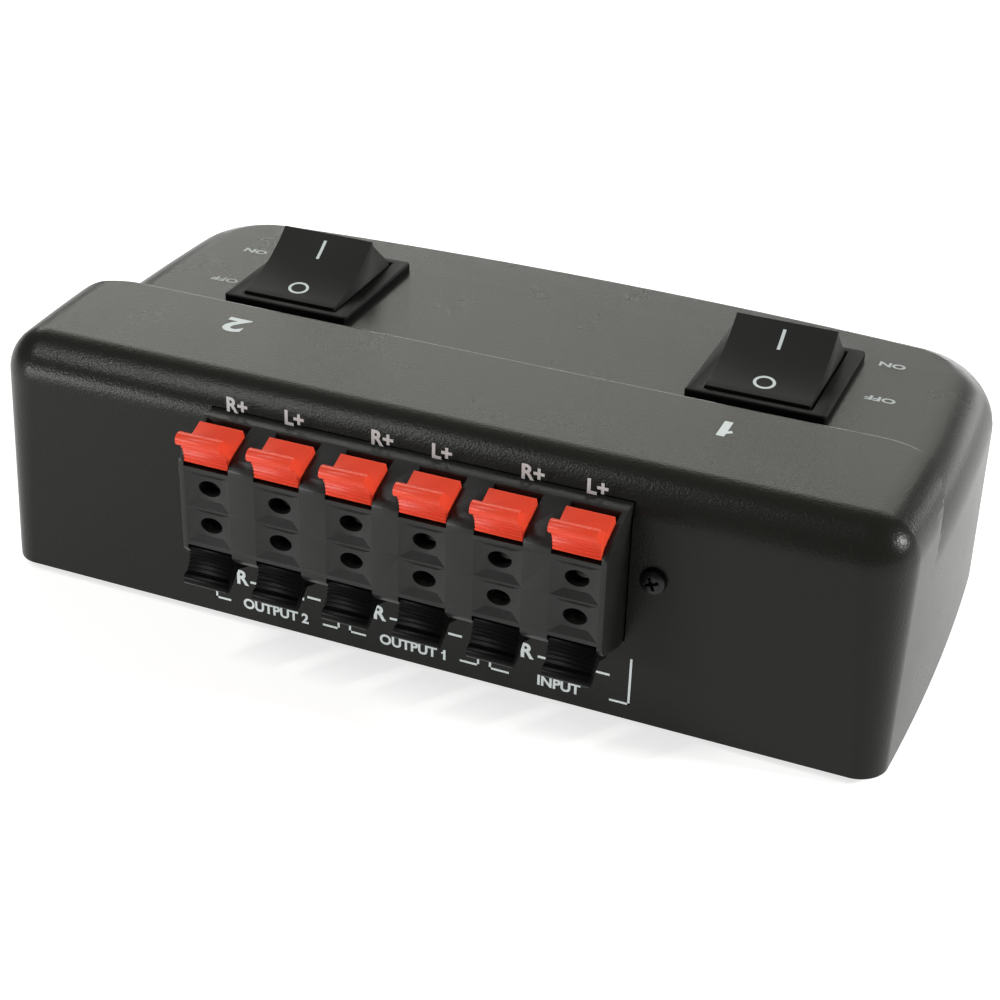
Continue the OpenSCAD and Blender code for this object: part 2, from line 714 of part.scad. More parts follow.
top_cover();
base_plate();
case_screws();
rubber_feet();
terminal_housing();
terminal_backplate();
circuit_board();
upper_contacts();
lower_contacts();
terminal_screws();
red_lever(1);  // red_lever_1
red_lever(2);  // red_lever_2
red_lever(3);  // red_lever_3
red_lever(4);  // red_lever_4
red_lever(5);  // red_lever_5
red_lever(6);  // red_lever_6
black_lever(1);  // black_lever_1
black_lever(2);  // black_lever_2
black_lever(3);  // black_lever_3
black_lever(4);  // black_lever_4
black_lever(5);  // black_lever_5
black_lever(6);  // black_lever_6
rocker_housing(1);  // rocker_housing_1
rocker_actuator(1);  // rocker_actuator_1
rocker_plungers(1);  // rocker_plungers_1
rocker_springs(1);  // rocker_springs_1
rocker_bridges(1);  // rocker_bridges_1
rocker_tabs(1);  // rocker_tabs_1
rocker_wires(1);  // rocker_wires_1
rocker_housing(2);  // rocker_housing_2
rocker_actuator(2);  // rocker_actuator_2
rocker_plungers(2);  // rocker_plungers_2
rocker_springs(2);  // rocker_springs_2
rocker_bridges(2);  // rocker_bridges_2
rocker_tabs(2);  // rocker_tabs_2
rocker_wires(2);  // rocker_wires_2
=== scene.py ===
"""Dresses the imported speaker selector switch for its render.

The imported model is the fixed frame. Pieces whose shape the eye judges, such as the moulded
cover, the press levers and the rockers, are built again here with soft edges, and stand in
for their CAD nodes. The rest of the CAD nodes keep their shape and get a finish. All lengths
are in metres in the CAD's frame: +X is the user's right, +Y the rear and +Z up.
"""

import math

import bmesh
import bpy
from bpy.props import FloatProperty, FloatVectorProperty, IntProperty, PointerProperty
from mathutils import Euler, Matrix, Vector
from mathutils.bvhtree import BVHTree


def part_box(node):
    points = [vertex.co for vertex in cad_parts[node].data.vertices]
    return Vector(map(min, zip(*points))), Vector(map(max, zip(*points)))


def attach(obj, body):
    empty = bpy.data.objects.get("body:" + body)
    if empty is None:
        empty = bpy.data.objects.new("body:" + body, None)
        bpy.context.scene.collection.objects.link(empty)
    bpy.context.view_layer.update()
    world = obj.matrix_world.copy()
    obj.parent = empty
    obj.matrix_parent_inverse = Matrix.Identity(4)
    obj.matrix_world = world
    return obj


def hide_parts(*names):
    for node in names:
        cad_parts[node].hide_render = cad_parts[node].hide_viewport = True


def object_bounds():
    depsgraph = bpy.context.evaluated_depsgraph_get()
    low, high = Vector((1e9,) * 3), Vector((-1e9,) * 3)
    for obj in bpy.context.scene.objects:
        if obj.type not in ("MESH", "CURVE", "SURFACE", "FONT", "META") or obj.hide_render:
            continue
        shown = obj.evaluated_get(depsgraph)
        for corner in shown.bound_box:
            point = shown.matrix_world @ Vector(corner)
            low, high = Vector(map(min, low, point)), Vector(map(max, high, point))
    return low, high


bl_info = {
    "name": "Speaker selector switch",
    "version": (1, 0, 0),
    "blender": (4, 5, 0),
    "location": "3D Viewport > Sidebar > Selector switch",
    "description": "Builds the shown pieces of a speaker selector switch round its CAD frame",
    "category": "Object",
}

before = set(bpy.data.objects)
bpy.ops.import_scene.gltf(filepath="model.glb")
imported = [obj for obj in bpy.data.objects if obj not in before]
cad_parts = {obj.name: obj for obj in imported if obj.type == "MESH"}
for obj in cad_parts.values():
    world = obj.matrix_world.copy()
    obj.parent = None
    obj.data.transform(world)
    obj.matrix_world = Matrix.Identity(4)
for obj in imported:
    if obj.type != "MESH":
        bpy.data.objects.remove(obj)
CAD_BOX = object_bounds()

MM = 0.001
COVER_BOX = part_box("top_cover")
SHELL = "case"
CASE_LENGTH = COVER_BOX[1].x - COVER_BOX[0].x
REAR_Y = COVER_BOX[1].y
RIDGE_TOP = COVER_BOX[1].z
DECK_TOP = 40 * MM
# the terminal block's middle and the axis of the screws beside it
BLOCK_HEIGHT = 28.3 * MM
COLUMNS = range(1, 7)
ROCKERS = (1, 2)


# ---------- colours and finishes ----------


def linear(code):
    """Turns an sRGB hex colour into linear red, green and blue."""
    parts = [int(code[i : i + 2], 16) / 255 for i in (1, 3, 5)]
    return tuple(c / 12.92 if c <= 0.04045 else ((c + 0.055) / 1.055) ** 2.4 for c in parts)


def shade(colour, factor):
    """A colour made lighter or darker by a factor, with full alpha."""
    return tuple(min(1.0, c * factor) for c in colour[:3]) + (1.0,)


def add(tree, kind, inputs=None, **settings):
    """Adds a node with its settings, values and links."""
    made = tree.nodes.new(kind)
    for key, value in settings.items():
        setattr(made, key, value)
    for key, value in (inputs or {}).items():
        if isinstance(value, bpy.types.NodeSocket):
            tree.links.new(value, made.inputs[key])
        else:
            made.inputs[key].default_value = value
    return made


def finish(name, colour, tone=0.12, cloud=9, rough=(0.4, 0.5), grain=0.35, relief=0.01,
           wear=0.0, **shader):
    """A material with cloudy colour, uneven gloss and a grained surface.

    Cloud and grain are the sizes of the patterns in millimetres and relief the height of the
    grain. Tone is how far the colour swings and wear how strongly the grain's tips pale."""
    material = bpy.data.materials.new(name)
    material.use_nodes = True
    tree = material.node_tree
    tree.nodes.clear()
    place = add(tree, "ShaderNodeTexCoord").outputs["Object"]
    clouds = add(tree, "ShaderNodeTexNoise", {
        "Vector": place, "Scale": 1000 / cloud, "Detail": 4.0, "Roughness": 0.6})
    fine = add(tree, "ShaderNodeTexNoise", {
        "Vector": place, "Scale": 1000 / grain, "Detail": 2.0, "Roughness": 0.55})
    tones = add(tree, "ShaderNodeMix", {
        "Factor": clouds.outputs["Fac"], "A": shade(colour, 1 - tone),
        "B": shade(colour, 1 + tone)}, data_type="RGBA")
    base = tones.outputs["Result"]
    if wear:
        # rubbed specks, paler than the rest, where the fine grain stands highest
        specks = add(tree, "ShaderNodeMapRange", {
            "Value": fine.outputs["Fac"], "From Min": 0.56, "From Max": 0.72,
            "To Min": 0.0, "To Max": wear})
        base = add(tree, "ShaderNodeMix", {
            "Factor": specks.outputs["Result"], "A": base, "B": shade(colour, 2.2)},
            data_type="RGBA").outputs["Result"]
    gloss = add(tree, "ShaderNodeMapRange", {
        "Value": clouds.outputs["Fac"], "From Min": 0.3, "From Max": 0.7,
        "To Min": rough[0], "To Max": rough[1]})
    bump = add(tree, "ShaderNodeBump", {
        "Height": fine.outputs["Fac"], "Distance": relief * MM, "Strength": 1.0})
    surface = add(tree, "ShaderNodeBsdfPrincipled", {
        "Base Color": base, "Roughness": gloss.outputs["Result"],
        "Normal": bump.outputs["Normal"], **shader})
    add(tree, "ShaderNodeOutputMaterial", {"Surface": surface.outputs["BSDF"]})
    return material


class SwitchColours(bpy.types.PropertyGroup):
    """Colours of the plastics and of the print."""

    cover: FloatVectorProperty(name="Cover", subtype="COLOR", size=3, min=0, max=1,
        description="Textured plastic of the top cover", default=linear("#1b1b18"))
    black: FloatVectorProperty(name="Black plastic", subtype="COLOR", size=3, min=0, max=1,
        description="Smooth plastic of the terminal block, black levers and rockers",
        default=linear("#191918"))
    red: FloatVectorProperty(name="Red levers", subtype="COLOR", size=3, min=0, max=1,
        description="Plastic of the upper row of press levers", default=linear("#d7442c"))
    ink: FloatVectorProperty(name="Print", subtype="COLOR", size=3, min=0, max=1,
        description="Printed signs and letters", default=linear("#c3cbca"))


class SwitchSizes(bpy.types.PropertyGroup):
    """Sizes that set how the pieces are dressed."""

    case_length: FloatProperty(name="Case length", unit="LENGTH", default=CASE_LENGTH,
        description="Length of the case along its bottom edge")
    deck_round: FloatProperty(name="Deck rounding", unit="LENGTH", default=10 * MM,
        description="Rounding between the deck and the walls")
    ridge_round: FloatProperty(name="Ridge rounding", unit="LENGTH", default=8 * MM,
        description="Rounding between the ridge's top and the walls")
    ridge_corner: FloatProperty(name="Ridge corners", unit="LENGTH", default=13 * MM,
        description="Plan radius of the ridge's corners above the deck")
    ridge_rim: FloatProperty(name="Ridge rim", unit="LENGTH", default=1.2 * MM,
        description="Rounding of the ridge's top edge above the deck")
    wall: FloatProperty(name="Wall", unit="LENGTH", default=2.5 * MM,
        description="Thickness of the case walls")
    edge: FloatProperty(name="Edge softening", unit="LENGTH", default=0.15 * MM,
        description="Width of the soft edges on small moulded pieces")
    print_lift: FloatProperty(name="Print lift", unit="LENGTH", default=0.02 * MM,
        description="Thickness of the printed ink")
    round_steps: IntProperty(name="Rounding steps", default=12, min=4, max=24,
        description="Faces across each large rounding of the cover")


def materials():
    """The finishes by name, made once."""
    made = {m.name: m for m in bpy.data.materials}
    if "abs_spark_textured" in made:
        return made
    colours = bpy.context.scene.switch_colours
    black = tuple(colours.black)
    # ABS moulded in a spark-eroded tool: dull black with a fine sandy grain that breaks
    # every highlight into specks
    finish("abs_spark_textured", tuple(colours.cover), tone=0.06, cloud=14,
           rough=(0.27, 0.29), grain=0.42, relief=0.055, wear=0.12,
           **{"Specular IOR Level": 0.15})
    # the same ABS moulded in a plain tool: flatter and a little darker
    finish("abs_plain_moulded", linear("#242423"), rough=(0.5, 0.6), relief=0.012)
    # ABS of the terminal block, moulded in a lightly polished tool: satin, crisp edges
    finish("abs_satin_moulded", black, tone=0.08, rough=(0.34, 0.44), grain=0.5, relief=0.03,
           wear=0.08, **{"Specular IOR Level": 0.3})
    # polypropylene of the red levers: bright, waxy and a little see-through at thin edges
    finish("polypropylene_red", tuple(colours.red), tone=0.05, cloud=5, rough=(0.28, 0.36),
           grain=0.6, relief=0.006, **{"Subsurface Weight": 0.12, "Subsurface Scale": 0.6 * MM,
           "Subsurface Radius": (1.0, 0.3, 0.15), "IOR": 1.49, "Specular IOR Level": 0.2})
    # polypropylene of the black levers: waxy black
    finish("polypropylene_black", shade(black, 0.2)[:3], tone=0.1, cloud=5,
           rough=(0.3, 0.38), grain=0.6, relief=0.006,
           **{"IOR": 1.49, "Specular IOR Level": 0.07})
    # nylon of the rocker frames: dull, with a slight orange peel
    finish("nylon_moulded", shade(black, 0.3)[:3], rough=(0.42, 0.5), grain=0.6, relief=0.012,
           **{"Specular IOR Level": 0.07})
    # polycarbonate of the rockers: an even dark grey satin, paler than its frame
    finish("polycarbonate_black", shade(black, 1.75)[:3], tone=0.06, rough=(0.5, 0.58),
           grain=0.8, relief=0.006, **{"IOR": 1.58, "Specular IOR Level": 0.09})
    # pad-printed ink: flat pale grey, thin, with pinholes
    finish("pad_print_ink", tuple(colours.ink), tone=0.05, cloud=1.5, rough=(0.5, 0.62),
           grain=0.25, relief=0.004)
    # the same ink where it is laid thinner, so the plastic greys it
    finish("pad_print_ink_thin", shade(colours.ink, 0.68)[:3], tone=0.06, cloud=1.5,
           rough=(0.5, 0.62), grain=0.25, relief=0.004)
    # black oxide on steel: dark, oily gloss
    finish("steel_black_oxide", linear("#2b2a2a"), tone=0.2, cloud=2, rough=(0.28, 0.4),
           grain=0.2, relief=0.008, Metallic=0.85)
    # zinc plate on steel: pale and slightly blue, with turning marks
    finish("steel_zinc_plated", linear("#b9bcc0"), tone=0.08, cloud=2, rough=(0.25, 0.38),
           grain=0.2, relief=0.006, Metallic=1.0)
    # rolled brass strip of the contacts under nickel plate: cool silver with a worn shine
    finish("brass_nickel_plated", linear("#b9b6ac"), tone=0.12, cloud=2.5,
           rough=(0.18, 0.3), grain=0.3, relief=0.004, Metallic=1.0)
    # tinned brass of the spade tabs: dull silver
    finish("brass_tinned", linear("#c6c5bd"), tone=0.08, cloud=2.5, rough=(0.3, 0.42),
           grain=0.3, relief=0.004, Metallic=1.0)
    # bare copper of the contact bridges
    finish("copper_rolled", linear("#c98358"), tone=0.14, cloud=2, rough=(0.25, 0.4),
           grain=0.3, relief=0.004, Metallic=1.0)
    # drawn spring wire: bright steel with a faint drawn grain
    finish("spring_wire_drawn", linear("#a9abad"), tone=0.1, cloud=1, rough=(0.25, 0.35),
           grain=0.15, relief=0.004, Metallic=1.0)
    # acetal of the plungers: milky white and slippery
    finish("acetal_turned", linear("#e6e5dc"), tone=0.03, cloud=3, rough=(0.3, 0.4),
           grain=0.4, relief=0.004, **{"IOR": 1.48})
    # phenolic paper board: brown with a fibrous mottling
    finish("phenolic_paper", linear("#4a3222"), tone=0.25, cloud=3, rough=(0.4, 0.55),
           grain=0.4, relief=0.01)
    # glass-epoxy circuit board under green lacquer
    finish("epoxy_board_green", linear("#1d5a35"), tone=0.15, cloud=2, rough=(0.2, 0.3),
           grain=0.7, relief=0.01, **{"Coat Weight": 0.4, "Coat Roughness": 0.15})
    # cast rubber of the feet: deep dull black
    finish("rubber_cast", linear("#171716"), tone=0.15, cloud=4, rough=(0.72, 0.85),
           grain=0.5, relief=0.03)
    # PVC insulation of the wires
    finish("pvc_red", linear("#b01c16"), tone=0.06, cloud=4, rough=(0.35, 0.45), relief=0.004)
    return {m.name: m for m in bpy.data.materials}


def finish_node(node, material):
    """Gives a CAD node, whose shape stays, its finish."""
    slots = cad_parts[node].data.materials
    slots.clear()
    slots.append(materials()[material])


# ---------- mesh tools ----------


def solid(bm, name="cutter"):
    """A bare object from a bmesh, which is used up."""
    mesh = bpy.data.meshes.new(name)
    bm.to_mesh(mesh)
    bm.free()
    obj = bpy.data.objects.new(name, mesh)
    bpy.context.scene.collection.objects.link(obj)
    return obj


def piece(name, bm, body, material, stands_for=(), sharp=35):
    """Makes a bmesh a piece with its finish, which rides on a CAD body."""
    obj = solid(bm, name)
    obj.data.materials.clear()
    obj.data.materials.append(materials()[material])
    obj.data.shade_smooth()
    obj.data.set_sharp_from_angle(angle=math.radians(sharp))
    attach(obj, body)
    if stands_for:
        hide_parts(*stands_for)
    return obj


def boolean(target, cutter, operation):
    """Joins, cuts or intersects target with cutter, which is used up."""
    modifier = target.modifiers.new("boolean", "BOOLEAN")
    modifier.operation = operation
    modifier.object = cutter
    modifier.solver = "EXACT"
    shown = target.evaluated_get(bpy.context.evaluated_depsgraph_get())
    mesh = bpy.data.meshes.new_from_object(shown)
    target.modifiers.clear()
    target.data = mesh
    bpy.data.objects.remove(cutter)
    if not mesh.polygons:
        raise RuntimeError("a boolean left nothing of " + target.name)
    return target


def box_into(bm, low, high):
    """Adds a box between two corners to a bmesh."""
    low, high = Vector(low), Vector(high)
    place = Matrix.Translation((low + high) / 2) @ Matrix.Diagonal((*(high - low), 1))
    return bmesh.ops.create_cube(bm, size=1, matrix=place)["verts"]


def rod_into(bm, centre, axis, radius, length, segments=48):
    """Adds a rod that starts at centre and runs along axis."""
    axis = Vector(axis).normalized()
    turn = axis.to_track_quat("Z", "Y").to_matrix().to_4x4()
    place = Matrix.Translation(Vector(centre) + axis * length / 2) @ turn
    return bmesh.ops.create_cone(
        bm, cap_ends=True, segments=segments, radius1=radius, radius2=radius, depth=length,
        matrix=place)["verts"]


def soften(bm, width, angle=35, segments=2, where=None):
    """Bevels the edges that turn by more than angle."""
    edges = [e for e in bm.edges if e.is_manifold
             and e.calc_face_angle(0) > math.radians(angle) and (where is None or where(e))]
    bmesh.ops.bevel(bm, geom=edges, offset=width, offset_type="OFFSET", segments=segments,
                    profile=0.5, affect="EDGES", clamp_overlap=True, material=-1,
                    loop_slide=True)


def join_flat_faces(bm):
    """Joins neighbouring faces that lie in one plane."""
    bmesh.ops.dissolve_limit(bm, angle_limit=math.radians(0.5), verts=bm.verts,
                             edges=bm.edges, use_dissolve_boundaries=False)


def node_copy(name):
    """A merged copy of a CAD node with its flat faces joined up."""
    bm = bmesh.new()
    bm.from_mesh(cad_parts[name].data)
    bmesh.ops.remove_doubles(bm, verts=bm.verts, dist=0.002 * MM)
    bmesh.ops.dissolve_degenerate(bm, edges=bm.edges, dist=0.001 * MM)
    join_flat_faces(bm)
    return bm


def reopened(obj, gap=0.002 * MM, join_flats=False):
    """Turns a bare object back into a bmesh, with its doubles merged, and removes it."""
    bm = bmesh.new()
    bm.from_mesh(obj.data)
    bpy.data.objects.remove(obj)
    bmesh.ops.remove_doubles(bm, verts=bm.verts, dist=gap)
    if join_flats:
        join_flat_faces(bm)
    return bm


def prism(points, along):
    """Extrudes a closed outline of points along a vector."""
    bm = bmesh.new()
    face = bm.faces.new([bm.verts.new(point) for point in points])
    grown = bmesh.ops.extrude_face_region(bm, geom=[face])["geom"]
    bmesh.ops.translate(bm, vec=along,
                        verts=[v for v in grown if isinstance(v, bmesh.types.BMVert)])
    return bm


def turned_into(bm, section, centre, axis, steps):
    """Adds a line of points turned once round an axis through centre."""
    verts = [bm.verts.new(point) for point in section]
    edges = [bm.edges.new(pair) for pair in zip(verts, verts[1:])]
    bmesh.ops.spin(bm, geom=verts + edges, cent=centre, axis=axis, angle=2 * math.pi,
                   steps=steps, use_merge=True)


def close_up(bm):
    """Merges the doubles of turned shapes and points their faces outwards."""
    bmesh.ops.remove_doubles(bm, verts=bm.verts, dist=0.001 * MM)
    bmesh.ops.recalc_face_normals(bm, faces=bm.faces)


# ---------- cover ----------


REAR_RADIUS = 5 * MM
REAR_TOP_RADIUS = 8 * MM
FRONT_RADIUS = 17.25 * MM
FRONT_BOW = 3 * MM
SIDE_BOW = 2 * MM
BOW_MIDDLE = 3 * MM
DRAFT = 0.4 * MM
CREASE_Y = -25 * MM
NOSE_SLOPE = math.radians(2)
RIDGE_DEPTH = 32 * MM
# the case's screw bosses: how far in from the ends, their two rows, where they start above
# the base plate, their radius and hole, and half the thickness of the ribs that hold them
BOSS_IN = 11.5 * MM
BOSS_ROWS = (33 * MM, -25 * MM)
BOSS_BOTTOM = 2.5 * MM
BOSS_RADIUS = 3.8 * MM
BOSS_HOLE = 1.5 * MM
BOSS_RIB = 0.6 * MM
# half the sides of the deck's openings for the switches
SWITCH_HALF_X = 10.95 * MM
SWITCH_HALF_Y = 14.65 * MM
# the rear wall's opening for the terminal block, and the heights of its lower and upper edge
BLOCK_GAP_X = 38.1 * MM
BLOCK_GAP_Z = (15.25 * MM, 41.3 * MM)
# the screws beside the block and the holes they pass
SCREW_X = 42.25 * MM
SCREW_HOLE = 1.4 * MM


def case_outline(bm, z, inset, rear_radius, lean):
    """Adds one level outline of the case as a face, with round corners and bowed sides."""
    half = bpy.context.scene.switch_sizes.case_length / 2
    x = half - lean - inset
    rear = REAR_Y - inset
    front = -REAR_Y + FRONT_BOW + inset
    corners = [bm.verts.new((sx * x, y, z)) for sx, y in
               ((1, rear), (-1, rear), (-1, front), (1, front))]
    bm.faces.new(corners)
    for group, radius in ((corners[:2], max(rear_radius - inset, MM)),
                          (corners[2:], FRONT_RADIUS - inset)):
        bmesh.ops.bevel(bm, geom=group, offset=radius, offset_type="OFFSET", segments=14,
                        profile=0.5, affect="VERTICES", material=-1)
    face = max((f for f in bm.faces if abs(f.calc_center_median().z - z) < 0.01 * MM),
               key=lambda f: f.calc_area())
    long_edges = [e for e in face.edges if e.calc_length() > 12 * MM]
    bmesh.ops.subdivide_edges(bm, edges=long_edges, cuts=12)
    bow_x = half - lean - FRONT_RADIUS
    for v in face.verts:
        if v.co.y < front + 0.1 * MM and abs(v.co.x) < bow_x:
            v.co.y -= FRONT_BOW * (1 - (v.co.x / bow_x) ** 2)
        v.co.x *= 1 - SIDE_BOW / half * ((v.co.y - BOW_MIDDLE) / REAR_Y) ** 2
    return face


def case_block(inset, bottom, top, rounding):
    """A closed block on the case's outline whose top edge is rounded."""
    steps = bpy.context.scene.switch_sizes.round_steps
    rim = bottom + MM
    levels = [(bottom, 0, REAR_RADIUS), (rim, 0, REAR_RADIUS)]
    for i in range(steps + 1):
        a = math.pi / 2 * i / steps
        levels.append((top - rounding * (1 - math.sin(a)), rounding * (1 - math.cos(a)),
                       REAR_TOP_RADIUS))
    bm = bmesh.new()
    below = None
    for z, drawn_in, radius in levels:
        lean = DRAFT * max(z - rim, 0) / DECK_TOP
        face = case_outline(bm, z, inset + drawn_in, radius, lean)
        ring = list(face.edges)
        if z not in (levels[0][0], levels[-1][0]):
            bm.faces.remove(face)
        if below:
            bmesh.ops.bridge_loops(bm, edges=below + ring)
        below = ring
    bmesh.ops.recalc_face_normals(bm, faces=bm.faces)
    return bm


def ridge_prism(inset):
    """The ridge's plan as a tall prism with round corners towards the deck."""
    sizes = bpy.context.scene.switch_sizes
    # the round corners run out into the case's own walls, which draw in towards the rear
    x = sizes.case_length / 2 - DRAFT - 0.5 * MM - inset
    y = REAR_Y - RIDGE_DEPTH + inset
    top = RIDGE_TOP - inset
    bm = bmesh.new()
    box_into(bm, (-x, y, -5 * MM), (x, REAR_Y + 5 * MM, top))
    upright = [e for e in bm.edges if abs(e.verts[0].co.z - e.verts[1].co.z) > MM
               and e.verts[0].co.y < REAR_Y]
    bmesh.ops.bevel(bm, geom=upright, offset=sizes.ridge_corner - inset, offset_type="OFFSET",
                    segments=24, profile=0.5, affect="EDGES", material=-1)
    # past the round corners the prism is wider than the case, whose own wall ends it
    for v in bm.verts:
        if v.co.y > REAR_Y:
            v.co.x *= 1 + 1.5 * MM / x
    if not inset:
        rim = [e for e in bm.edges if all(v.co.z > top - 0.01 * MM for v in e.verts)
               and min(v.co.y for v in e.verts) < REAR_Y]
        bmesh.ops.bevel(bm, geom=rim, offset=sizes.ridge_rim, offset_type="OFFSET",
                        segments=5, profile=0.5, affect="EDGES", material=-1)
    return bm


def case_form(inset, bottom):
    """The outer form of the cover, or with an inset the space inside it."""
    sizes = bpy.context.scene.switch_sizes
    ridge = solid(case_block(inset, bottom, RIDGE_TOP - inset + 0.01 * MM,
                             sizes.ridge_round - inset))
    boolean(ridge, solid(ridge_prism(inset)), "INTERSECT")
    deck = solid(case_block(inset, bottom, DECK_TOP - inset, sizes.deck_round - inset))
    return boolean(deck, ridge, "UNION")


def build_cover():
    """The moulded cover: shell, bosses, openings and the sloping front of the deck."""
    sizes = bpy.context.scene.switch_sizes
    cover = case_form(0, 0)
    inside = case_form(sizes.wall, -MM)
    half = sizes.case_length / 2
    bosses, ribs = bmesh.new(), bmesh.new()
    for sx in (-1, 1):
        for y in BOSS_ROWS:
            x = sx * (half - BOSS_IN)
            rod_into(bosses, (x, y, BOSS_BOTTOM), (0, 0, 1), BOSS_RADIUS, RIDGE_TOP, 32)
            x0, x1 = sorted((x, sx * half))
            box_into(ribs, (x0, y - BOSS_RIB, BOSS_BOTTOM), (x1, y + BOSS_RIB, RIDGE_TOP))
    boolean(inside, solid(bosses), "DIFFERENCE")
    boolean(inside, solid(ribs), "DIFFERENCE")
    boolean(cover, inside, "DIFFERENCE")
    cuts = bmesh.new()
    for n in ROCKERS:
        low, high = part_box(f"rocker_housing_{n}")
        mid = (low + high) / 2
        box_into(cuts, (mid.x - SWITCH_HALF_X, mid.y - SWITCH_HALF_Y, DECK_TOP - 5 * MM),
                 (mid.x + SWITCH_HALF_X, mid.y + SWITCH_HALF_Y, DECK_TOP + MM))
    box_into(cuts, (-BLOCK_GAP_X, REAR_Y - 4 * MM, BLOCK_GAP_Z[0]),
             (BLOCK_GAP_X, REAR_Y + MM, BLOCK_GAP_Z[1]))
    for sx in (-1, 1):
        rod_into(cuts, (sx * SCREW_X, REAR_Y - 4 * MM, BLOCK_HEIGHT), (0, 1, 0), SCREW_HOLE,
                 6 * MM)
        for y in BOSS_ROWS:
            rod_into(cuts, (sx * (half - BOSS_IN), y, 0), (0, 0, 1), BOSS_HOLE, 13 * MM, 24)
    boolean(cover, solid(cuts), "DIFFERENCE")
    slope = bmesh.new()
    box_into(slope, (-half - MM, -2 * REAR_Y, 0), (half + MM, 0, 10 * MM))
    bmesh.ops.rotate(slope, verts=slope.verts, matrix=Matrix.Rotation(NOSE_SLOPE, 3, "X"))
    bmesh.ops.translate(slope, verts=slope.verts, vec=(0, CREASE_Y, DECK_TOP))
    boolean(cover, solid(slope), "DIFFERENCE")
    return reopened(cover)


class SWITCH_OT_cover(bpy.types.Operator):
    """Build the moulded top cover"""

    bl_idname = "selector_switch.cover"
    bl_label = "Top cover"

    def execute(self, context):
        bm = build_cover()
        cover = piece("cover_shell", bm, SHELL, "abs_spark_textured", ("top_cover",),
                      sharp=32)
        cover.modifiers.new("even shading", "WEIGHTED_NORMAL").keep_sharp = True
        return {"FINISHED"}


# ---------- print ----------


# a capital letter's height as a share of its font size, and how far its strokes are grown as
# a share of its height
CAPITAL_SHARE = 0.73
STROKE_GROWTH = 0.045
# heights of the signs above and below the block, of the words under it, of the words on the
# deck and of the figures on the ridge
UPPER_SIGN = 2.7 * MM
LOWER_SIGN = 2.9 * MM
REAR_WORD = 2 * MM
DECK_WORD = 1.75 * MM
FIGURE = 5.2 * MM
# how high the middle of the words under the block stands, how far back the figures stand, and
# half the width of a rocker's frame, whose middle a figure is in line with
REAR_WORD_Z = 3.2 * MM
FIGURE_Y = 22 * MM
FRAME_HALF = 12.75 * MM


def lettering(name, words, face):
    """Makes words a thin mesh of ink on a face.

    Each word is (text, middle, height, squeeze across) on the face's plane, and face is the
    matrix that carries that plane to its place."""
    bm = bmesh.new()
    for text, middle, height, squeeze in words:
        curve = bpy.data.curves.new(name, "FONT")
        curve.body = text
        curve.align_x = "CENTER"
        curve.align_y = "CENTER"
        curve.size = height / CAPITAL_SHARE
        curve.offset = height * STROKE_GROWTH
        curve.resolution_u = 6
        curve.extrude = bpy.context.scene.switch_sizes.print_lift / 2
        obj = bpy.data.objects.new(name, curve)
        bpy.context.scene.collection.objects.link(obj)
        shown = obj.evaluated_get(bpy.context.evaluated_depsgraph_get())
        mesh = bpy.data.meshes.new_from_object(shown)
        bpy.data.objects.remove(obj)
        place = Matrix.Translation((*middle, 0)) @ Matrix.Diagonal((squeeze, 1, 1, 1))
        mesh.transform(face @ place)
        bm.from_mesh(mesh)
        bpy.data.meshes.remove(mesh)
    return bm


def strokes_into(bm, lines, width, face):
    """Adds printed straight lines, each from one point to another on the face's plane."""
    lift = bpy.context.scene.switch_sizes.print_lift
    for a, b in lines:
        low = (min(a[0], b[0]) - width / 2, min(a[1], b[1]) - width / 2, -lift / 2)
        high = (max(a[0], b[0]) + width / 2, max(a[1], b[1]) + width / 2, lift / 2)
        verts = box_into(bm, low, high)
        bmesh.ops.transform(bm, matrix=face, verts=verts)


def flag_into(bm, tip, height, face):
    """Adds the flag of a figure one, which runs down to the left from tip."""
    lift = bpy.context.scene.switch_sizes.print_lift
    verts = box_into(bm, (-0.46 * height, -0.15 * height, -lift / 2), (0, 0, lift / 2))
    place = Matrix.Translation((*tip, lift / 4)) @ Matrix.Rotation(math.radians(36), 4, "Z")
    bmesh.ops.transform(bm, matrix=face @ place, verts=verts)


